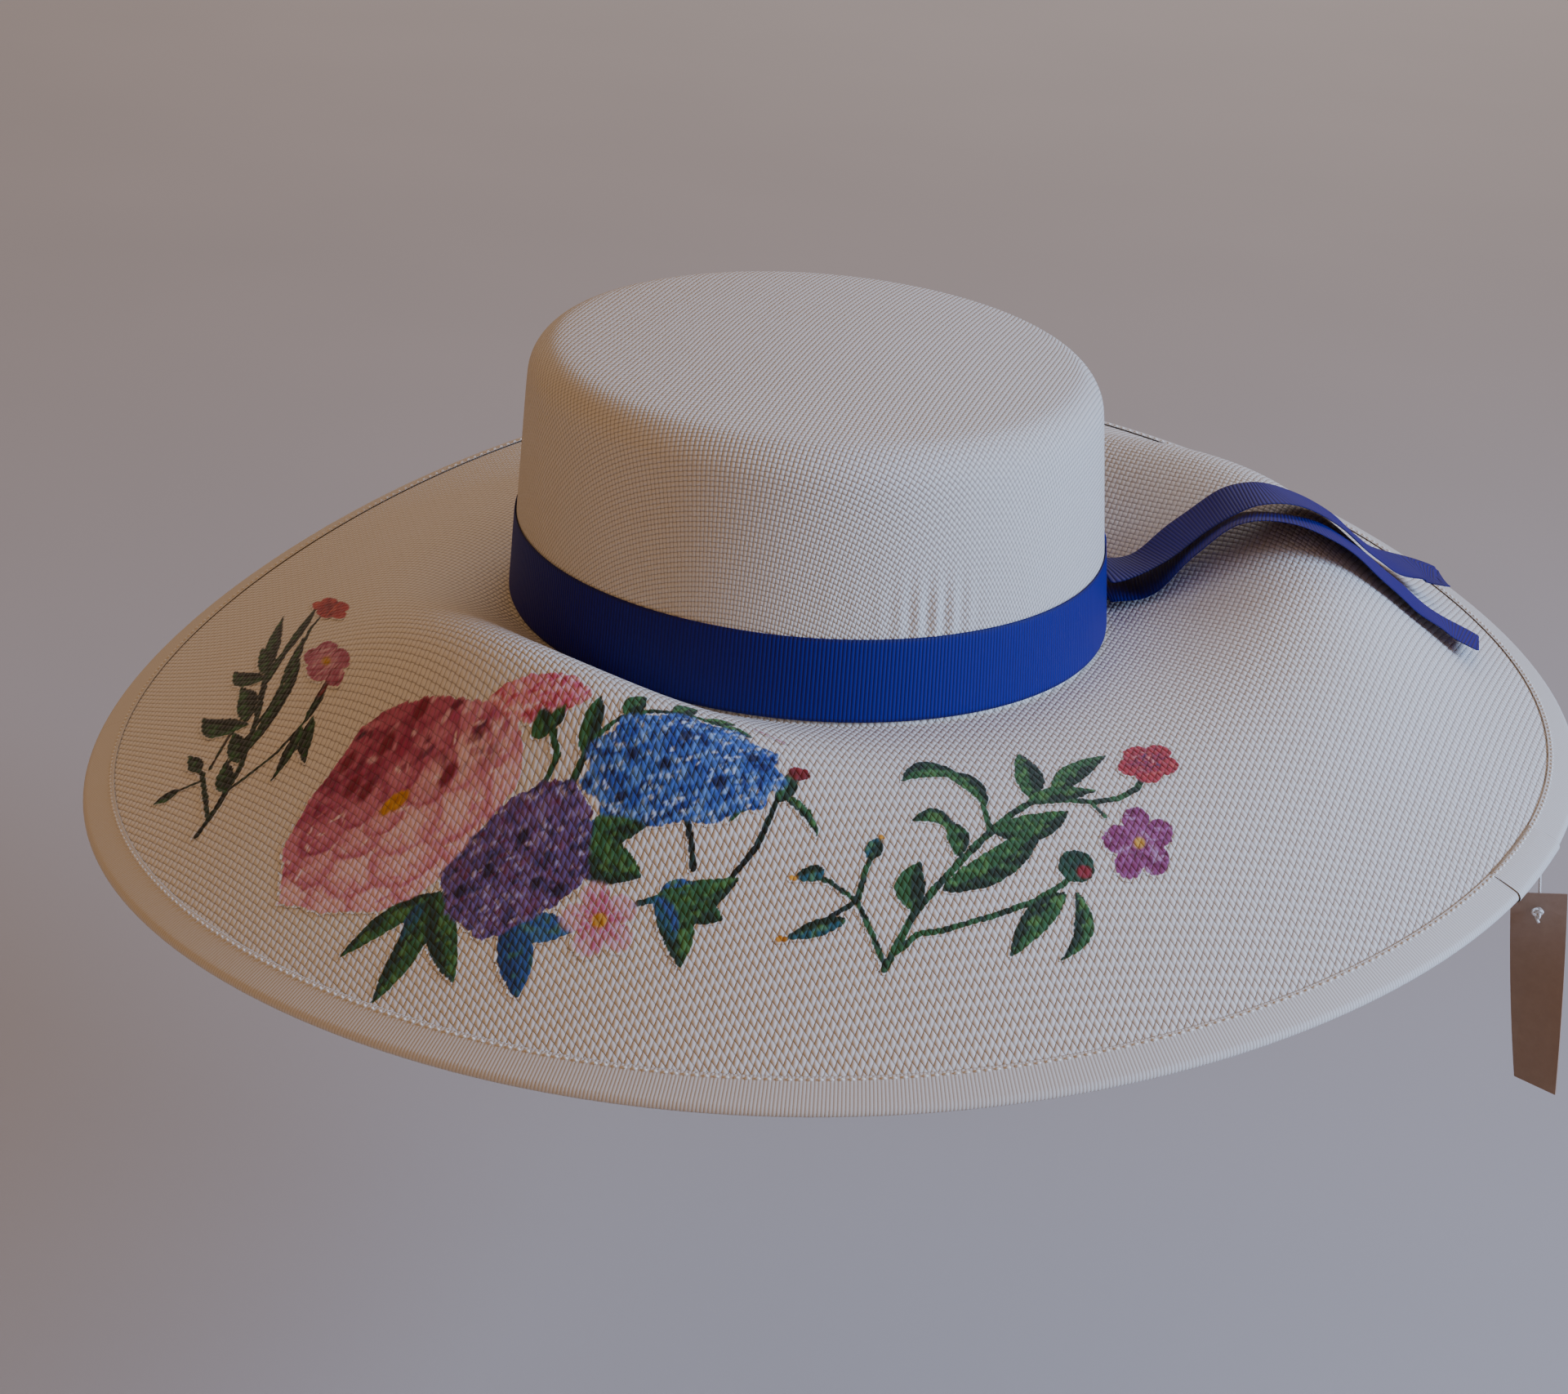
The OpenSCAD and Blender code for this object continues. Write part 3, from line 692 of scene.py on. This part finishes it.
def paint_hydrangeas(art):
    """Purple and blue mopheads: little dabs of many tones, darker hollows between."""
    purple = [(-92, -147), (-85, -140), (-77, -134), (-67, -132), (-58, -135), (-53, -141),
              (-53, -149), (-52, -158), (-60, -164), (-68, -167), (-78, -170), (-89, -159)]
    whole = art.outline(purple)
    art.lay(whole, "574274", "6E5084", clouds(art.x, art.y, 3, 41))
    box = (-93, -171, -51, -131)
    art.dabs(whole, 330, box, 2.3, ["4C3A70", "66508A", "7C5C92", "74446C", "3A2F5C", "86709E"], 12)
    art.dabs(whole, 300, box, 1.2, ["2C2448", "9A8AB4", "5A4480", "6A2C54", "B0A2C4"], 13)
    for x, y in ((-71, -144), (-79, -150), (-66, -157), (-86, -154), (-60, -160)):
        r, _ = art.bloom_space((x, y), (1.9, 0.3), (0.0, 2.3))
        art.lay(smooth(1.1, 0.6, r + art.wobble * 0.3), "241638", strength=0.95)
    r, a = art.bloom_space((-30, -134.3), (26, -0.5), (-1.5, 13.3))
    whole = smooth(0.06, -0.04, r - 1 + 0.05 * np.sin(11 * a) - art.wobble * 0.04)
    art.lay(whole, "2A4C96", "4A72B8", clouds(art.x, art.y, 3, 43))
    box = (-57, -149, -3, -120)
    art.dabs(whole, 430, box, 2.3, ["1E3C8C", "3560B0", "5A86C8", "2A4A9C", "6A92CC", "16286A"], 14)
    art.dabs(whole, 460, box, 1.15, ["14225C", "A8C0DE", "3C6AB8", "8CB0DC", "C8D6E6", "203A88"], 15)
    for x, y in ((-35, -134), (-20, -138), (-44, -131), (-12, -131), (-30, -127), (-46, -140)):
        r, _ = art.bloom_space((x, y), (2.2, 0.2), (0.0, 1.7))
        art.lay(smooth(1.1, 0.6, r + art.wobble * 0.3), "101A48", strength=0.95)


def paint_left_group(art):
    """Peony, hydrangeas, carnation and star flower, with their stems and leaves."""
    art.stroke([(-69, -117), (-66, -122), (-64, -128), (-68, -135)], 1.7)
    art.stroke([(-60, -136), (-56, -128), (-54, -121)], 2.0)
    art.leaf((-57, -129), (-54, -116), 6, 0)
    art.stroke([(-54, -126), (-48, -122.5), (-40, -120.5), (-31, -119.5), (-18, -122)], 1.2)
    for base, tip, width in (((-47, -122), (-42, -115), 6), ((-34, -120), (-28, -115), 6),
                             ((-25, -120), (-17, -119), 3), ((-20, -121), (-12, -124), 3)):
        art.leaf(base, tip, width, 0)
    art.stroke([(-12, -119), (-8, -121), (-4, -123)], 0.7, "C07A8C", "D8A0AC")
    art.stroke([(-28, -146), (-26, -153), (-25, -159)], 1.6, DARK_GREEN, "141C14")
    art.stroke([(-4, -139), (-6, -146), (-9, -154), (-15, -162)], 1.6, DARK_GREEN, "141C14")
    carnation = [(-86, -108), (-81, -106), (-75, -106), (-68, -107), (-61, -109), (-56, -116),
                 (-60, -118), (-66, -119), (-73, -118), (-80, -115)]
    whole = art.outline(carnation)
    art.lay(whole, "D2788A", "E4A8B0", clouds(art.x, art.y, 2, 51))
    art.dabs(whole, 150, (-87, -120, -55, -105), 2.4, ["C4506A", "DE8C98", "EEC6C8", "B8405C"], 16, 0.5)
    art.leaf((-68, -123), (-70, -116), 6, 0)
    art.leaf((-67, -121), (-63, -117), 4, 0)
    for base, tip, width, bend in (
            ((-58, -150), (-36, -146), 9, 1), ((-57, -148), (-38, -160), 11, -1),
            ((-92, -153), (-116, -164), 7, -2), ((-93, -153), (-105, -181), 8, 1),
            ((-92, -152), (-84, -180), 8, -1), ((-34, -166), (-13, -162), 10, -3),
            ((-30, -169), (-16, -173), 8, 1), ((-33, -165), (-26, -185), 9, 2),
            ((-6, -139), (-17, -148), 3, -1), ((-4, -140), (7, -151), 2.6, 2)):
        art.leaf(base, tip, width, bend)
    art.stroke([(-39, -167), (-33, -166)], 1.6, TEAL, DARK_GREEN)
    art.leaf((-57, -150), (-52, -144), 5, 0, "2C5590", TEAL, "4A78B0")
    art.leaf((-34, -166), (-28, -178), 5, 1, "2C4C88", TEAL, GREEN)
    art.leaf((-33, -164), (-24, -163), 4, 0, "2C5590", GREEN, LEAF_LIGHT)
    art.leaf((-70, -167), (-55, -172), 8, 0, "2C5590", "3C6A94", "4A8058")
    art.leaf((-72, -166), (-67, -188), 9, 1, "274E86", "1C3A6A", "3C7A4C")
    art.leaf((-96, -154), (-100, -164), 4, 0, TEAL, "1D3F5C", GREEN)
    art.leaf((-4, -142), (0, -133), 5, 0)
    r, _ = art.bloom_space((0.5, -133.5), (3.2, 0), (0, 2.2))
    art.lay(smooth(1.1, 0.7, r + art.wobble * 0.3), "9A2A2C", "641C20", clouds(art.x, art.y, 1.5, 9))
    paint_peony(art)
    paint_hydrangeas(art)
    # the pale star flower is a thin wash, so the straw shows through it
    art.bloom((-48, -170), (10.5, -1.5), (-1, 10.5), 5, "DDB4C4", "C06488", "D4A040", 0.5,
              0.45, 0.62)
    art.bloom((-48, -170), (2.0, 0), (0, 1.9), 5, "D9A23A", "B4822C", None, 0.0)


def paint_right_spray(art):
    """The sprig at the right front: stems, broad leaves, buds and two flowers."""
    art.stroke([(26, -186), (33, -170), (42, -157), (52, -143), (58, -135), (64, -129),
                (72, -127), (80, -126), (87, -123), (92, -118), (94, -112)], 2.0)
    art.stroke([(29, -181), (34, -176), (40, -174.5), (53, -169), (64, -163), (71, -157),
                (74, -153)], 1.6)
    art.stroke([(26, -185), (22, -176), (18, -168), (20, -158), (22, -153)], 1.5)
    art.stroke([(18, -168), (11, -163), (5, -161)], 1.3)
    art.stroke([(18, -168), (12, -172), (7, -176)], 1.3, DARK_GREEN, "16201C")
    art.stroke([(79, -126), (83, -131)], 1.3)
    art.stroke([(52, -142), (50, -133)], 1.6)
    for base, tip, width, bend in (
            ((51, -134), (36, -123), 6, -4), ((44, -123), (28, -130), 7, -4),
            ((44, -152), (39, -140), 6, -2), ((43, -143), (31, -143), 5, -3),
            ((33, -170), (34, -155), 8, 2), ((63, -128), (60, -108), 8, -1),
            ((69, -124), (84, -104), 7, 1), ((62, -130), (81, -121), 6, 1),
            ((53, -143), (73, -131), 9, -2), ((40, -163), (67, -136), 9, -3),
            ((72, -159), (58, -180), 7, -1), ((75, -158), (71, -179), 5, 4)):
        art.leaf(base, tip, width, bend)
    # three buds, teal with a yellow point
    for place, tip in (((22, -152), (23.5, -149)), ((5, -161), (1.5, -162)),
                       ((7, -176), (0, -178.5))):
        art.leaf((2.2 * place[0] - 1.2 * tip[0], 2.2 * place[1] - 1.2 * tip[1]), tip, 4.6, 0, TEAL,
                 DARK_GREEN)
        art.stroke([tip, (tip[0] + 0.2 * (tip[0] - place[0]), tip[1])], 1.5, "D99A2C", "C07E1C")
    r, _ = art.bloom_space((75, -150), (4.8, 0.4), (0, 5.2))
    art.lay(smooth(1.08, 0.92, r + art.wobble * 0.1), "24553A", "17352C", clouds(art.x, art.y, 2, 61))
    r, _ = art.bloom_space((77, -151.5), (2.2, 0.2), (0, 2.2))
    art.lay(smooth(1.1, 0.8, r + art.wobble * 0.3), "8A2430")
    shape = art.bloom((95.5, -105.5), (8.4, 0.2), (1.5, 9.5), 5, "AC3440", "8E3048", None, 1.15)
    art.dabs(shape, 60, (86, -116, 105, -95), 2.0, ["BE4648", "9A2838", "B43C42", "C85C58"], 23, 0.5)
    core = smooth(0.75, 0.45, art.bloom_space((95.5, -105), (7.0, 1), (0, 8))[0])
    art.dabs(core, 60, (88, -113, 103, -97), 1.4, ["4A2A66", "7A2C50", "2E2454", "D88C84"], 24, 0.6)
    shape = art.bloom((92, -138.5), (9.8, 1), (1, 13.2), 5, "86386A", "9C5486", None, 0.55, 0.42)
    art.dabs(shape, 150, (82, -153, 103, -124), 2.2, ["6E2450", "9A5084", "B282A8", "842E62"], 25, 0.5)
    art.lay(smooth(0.2, 0.1, art.bloom_space((92, -138.5), (9.8, 1), (1, 13.2))[0]), "D2A040")


def paint_film(name, corner, far_corner, paint, cell=0.55):
    """A film of paint that lies on the straw, from corner to far corner, in mm."""
    width, depth = far_corner[0] - corner[0], far_corner[1] - corner[1]
    bm = bmesh.new()
    bmesh.ops.create_grid(bm, x_segments=round(width / cell), y_segments=round(depth / cell), size=0.5)
    for v in bm.verts:
        v.co = Vector((corner[0] + width * (v.co.x + 0.5), corner[1] + depth * (v.co.y + 0.5), 0)) * MM
    x = np.array([v.co.x for v in bm.verts]) / MM
    y = np.array([v.co.y for v in bm.verts]) / MM
    art = Brushwork(x, y)
    paint(art)
    tone = bm.verts.layers.float_color.new("paint")
    cover = bm.verts.layers.float.new("cover")
    painted = set()
    for v, rgb, share in zip(bm.verts, art.tone, art.cover):
        v[tone] = (*rgb, 1.0)
        v[cover] = share
        if share > 0.01:
            painted.update(v.link_faces)
    bmesh.ops.delete(bm, geom=[f for f in bm.faces if f not in painted], context="FACES")
    lay_uv(bm, "weave", brim_counts)
    for v in bm.verts:
        hit, normal, _, _ = BRIM_SURFACE.ray_cast(Vector((v.co.x, v.co.y, 0.2)), Vector((0, 0, -1)))
        v.co = hit + normal * 0.12 * MM
    for _ in range(3):
        bmesh.ops.smooth_vert(bm, verts=bm.verts, factor=0.5, use_axis_z=True)
    finish_piece(bm, name, acrylic_on_straw(), "hat")


paint_film("painted_left_group", (-142, -192), (12, -88), paint_left_group)
paint_film("painted_left_sprig", (-188, -102), (-124, 30), paint_left_spray)
paint_film("painted_right_sprig", (-6, -192), (108, -92), paint_right_spray)


# ---------------------------------------------------------------- edge binding and its stitches
def edge_distance(point):
    """mm inwards from the brim's edge, seen from above."""
    return BRIM_RADIUS - (Vector((point.x, point.y)) / MM - BRIM_MIDDLE).length


def binding_counts(point, middle):
    """mm round the brim's edge and mm across the binding."""
    a = math.atan2(point.y / MM - BRIM_MIDDLE.y, point.x / MM - BRIM_MIDDLE.x)
    m = math.atan2(middle.y / MM - BRIM_MIDDLE.y, middle.x / MM - BRIM_MIDDLE.x)
    a = m + (a - m + math.pi) % (2 * math.pi) - math.pi
    return a * BRIM_RADIUS, 20 + edge_distance(point)


def make_binding():
    """The ribbon folded over the brim's edge."""
    bm = cad_copy("brim_edge_binding")
    lay_uv(bm, "ribbon", binding_counts)
    return finish_piece(bm, "edge_binding", IVORY, "hat", ("brim_edge_binding",), 2)


binding = make_binding()


def make_overlap():
    """The binding's end, lapped over its start at the right front."""
    bm = cad_copy("brim_edge_binding")
    lay_uv(bm, "ribbon", binding_counts)
    far = []
    for f in bm.faces:
        spot = f.calc_center_median() / MM
        angle = math.degrees(math.atan2(spot.y, spot.x - BRIM_MIDDLE.x))
        if not OVERLAP[0] < angle < OVERLAP[1]:
            far.append(f)
    bmesh.ops.delete(bm, geom=far, context="FACES")
    for v in bm.verts:
        v.co += v.normal * 0.3 * MM
    finish_piece(bm, "binding_overlap", IVORY, "hat", (), 1)


make_overlap()


def make_edge_stitches(on):
    """Lockstitches through the binding, seen from above and from below."""
    bm = bmesh.new()
    radius = BRIM_RADIUS - STITCH_IN
    count = round(2 * math.pi * radius / STITCH_PITCH)
    string = string_top()
    for k in range(count):
        a = 2 * math.pi * k / count
        spot = Vector((BRIM_MIDDLE.x + radius * math.cos(a), radius * math.sin(a))) * MM
        for way in (1, -1):
            hit, normal, _, _ = on.ray_cast(Vector((*spot, 0.2 * way)), Vector((0, 0, -way)))
            # the string leaves the binding between two stitches
            if hit is None or (way < 0 and (hit - string).length < 4 * MM):
                continue
            along = Vector((-math.sin(a), math.cos(a), 0))
            along = (along - normal * along.dot(normal)).normalized()
            turn = Matrix((along, normal.cross(along), normal)).transposed().to_4x4()
            size = Matrix.Diagonal((0.9 * MM, 0.46 * MM, 0.42 * MM, 1))
            bmesh.ops.create_icosphere(bm, subdivisions=1, radius=1, matrix=Matrix.Translation(
                hit + normal * 0.12 * MM) @ turn @ size)
    finish_piece(bm, "edge_stitches", THREAD, "hat", ("brim_edge_stitching",))


make_edge_stitches(surface_of(binding))


# ---------------------------------------------------------------- ribbon
def around_counts(point, middle):
    """mm round the crown and mm up it."""
    return turn_near(point, middle) * CROWN_REACH, point.z / MM


def split_tall_edges(bm, cuts):
    """Cuts every edge that crosses a ribbon, so that the ribbon can curve across its width."""
    tall = [e for e in bm.edges if e.calc_length() > 12 * MM]
    bmesh.ops.subdivide_edges(bm, edges=tall, cuts=cuts, use_grid_fill=True)


def make_band():
    """The band, which ripples a little round the crown, and its keeper."""
    bm = cad_copy("hat_band")
    split_tall_edges(bm, 9)
    for v in bm.verts:
        a = math.atan2(v.co.y, v.co.x)
        out = Vector((v.co.x, v.co.y, 0)).normalized()
        wave = math.sin(7 * a) + 0.7 * math.sin(17 * a + 1) * math.sin(v.co.z / MM * 0.2)
        v.co += out * 0.1 * MM * (1 + 0.5 * wave)
    lay_uv(bm, "ribbon", lambda p, m: (around_counts(p, m)[0], p.z / MM - 1.2))
    finish_piece(bm, "ribbon_band", BLUE, "hat", ("hat_band",), 1)
    bm = cad_copy("band_keeper")
    split_tall_edges(bm, 7)
    lay_uv(bm, "ribbon", lambda p, m: (p.z / MM, around_counts(p, m)[0] - 4))
    finish_piece(bm, "ribbon_keeper", BLUE, "hat", ("band_keeper",), 1)


def rings_from(start):
    """How many edges each vertex is from the start, and each ring's middle."""
    step = {v: 0 for v in start}
    ring = list(start)
    middles = []
    while ring:
        middles.append(sum((v.co for v in ring), Vector()) / len(ring))
        following = {e.other_vert(v) for v in ring for e in v.link_edges} - set(step)
        for v in following:
            step[v] = len(middles)
        ring = sorted(following, key=lambda v: v.index)
    return step, middles


def make_tail(node, body, name):
    """A loose ribbon end, from its root at the hinge to its tip."""
    bm = cad_copy(node)
    split_tall_edges(bm, 7)
    bm.verts.index_update()
    hinge = joint(body + "_lift")
    outward = Vector(hinge["axis"]).cross(Vector((0, 0, 1))).normalized()
    anchor = Vector(hinge["pos_m"])
    root = [v for v in bm.verts if abs((v.co - anchor).dot(outward)) < 0.5 * MM]
    step, middles = rings_from(root)
    run = [0.0]
    for a, b in zip(middles, middles[1:]):
        run.append(run[-1] + (b - a).length / MM)
    layer = bm.loops.layers.uv.new("ribbon")
    for v in bm.verts:
        k = step.get(v, 0)
        before, after = middles[max(k - 1, 0)], middles[min(k + 1, len(middles) - 1)]
        way = (after - before).normalized()
        side = Vector((-way.y, way.x, 0)).normalized()
        across = (v.co - middles[k]).dot(side) / MM
        for loop in v.link_loops:
            loop[layer].uv = (run[k], 12 + across)
    tail = finish_piece(bm, name, BLUE, None, (node,), 2)
    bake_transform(tail)


make_band()
make_tail("ribbon_tail_lower", "tail_lower", "ribbon_end_lower")
make_tail("ribbon_tail_upper", "tail_upper", "ribbon_end_upper")


# ---------------------------------------------------------------- inside the crown
def make_inside():
    """The sweatband, and finishes for the CAD nodes that show as they are."""
    bm = cad_copy("sweatband")
    split_tall_edges(bm, 7)
    lay_uv(bm, "ribbon", lambda p, m: (around_counts(p, m)[0], p.z / MM - 0.4))
    finish_piece(bm, "sweat_ribbon", CREAM, "hat", ("sweatband",), 1)
    wire = tinned_wire()
    for name, material in (("sweatband_stitching", THREAD), ("size_label", woven_label()),
                           ("brim_edge_wire", wire), ("edge_wire_joiner", wire)):
        for slot in frame["nodes"][name].material_slots:
            slot.material = material


make_inside()


# ---------------------------------------------------------------- studio
def light(name, at, size, power, hex_code, towards=(0, 0, 0)):
    """A square area light, aimed from one place towards another."""
    lamp = bpy.data.objects.new(name, bpy.data.lights.new(name, "AREA"))
    bpy.context.scene.collection.objects.link(lamp)
    lamp.data.size = size
    lamp.data.energy = power
    lamp.data.color = colour(hex_code)[:3]
    lamp.location = at
    lamp.rotation_euler = (Vector(towards) - Vector(at)).to_track_quat("-Z", "Y").to_euler()


def make_studio():
    """A plain floor, a cool window light at the right and a warm dim room."""
    made, tree, skin = new_material("painted_studio_floor")
    at = add(tree, "ShaderNodeTexCoord").node.outputs["Object"]
    cloud = add(tree, "ShaderNodeTexNoise", {"Vector": at, "Scale": 3.0, "Detail": 2.0})
    tone = add(tree, "ShaderNodeMix", {0: cloud, 6: colour("AFADAC"), 7: colour("B7B4B3")},
               data_type="RGBA").node.outputs[2]
    tree.links.new(tone, skin.inputs["Base Color"])
    skin.inputs["Roughness"].default_value = 0.9
    bm = bmesh.new()
    bmesh.ops.create_grid(bm, x_segments=4, y_segments=4, size=8)
    bmesh.ops.translate(bm, verts=bm.verts, vec=(0, 4, FLOOR))
    mesh = bpy.data.meshes.new("floor")
    bm.to_mesh(mesh)
    bm.free()
    mesh.materials.append(made)
    floor = bpy.data.objects.new("floor", mesh)
    bpy.context.scene.collection.objects.link(floor)
    light("window", (1.55, -0.5, 0.66), 0.8, 47, "AFCFFF")
    light("room", (-1.2, -1.6, 1.2), 1.6, 5, "FFD0A0")
    light("back_of_room", (0.6, 3.4, 2.2), 2.0, 42, "F2F4FF", (0.2, 3.2, -0.3))
    world = bpy.data.worlds.new("room_light")
    bpy.context.scene.world = world
    world.use_nodes = True
    world.node_tree.nodes["Background"].inputs["Color"].default_value = colour("FFCC9C")
    world.node_tree.nodes["Background"].inputs["Strength"].default_value = 0.34


make_studio()
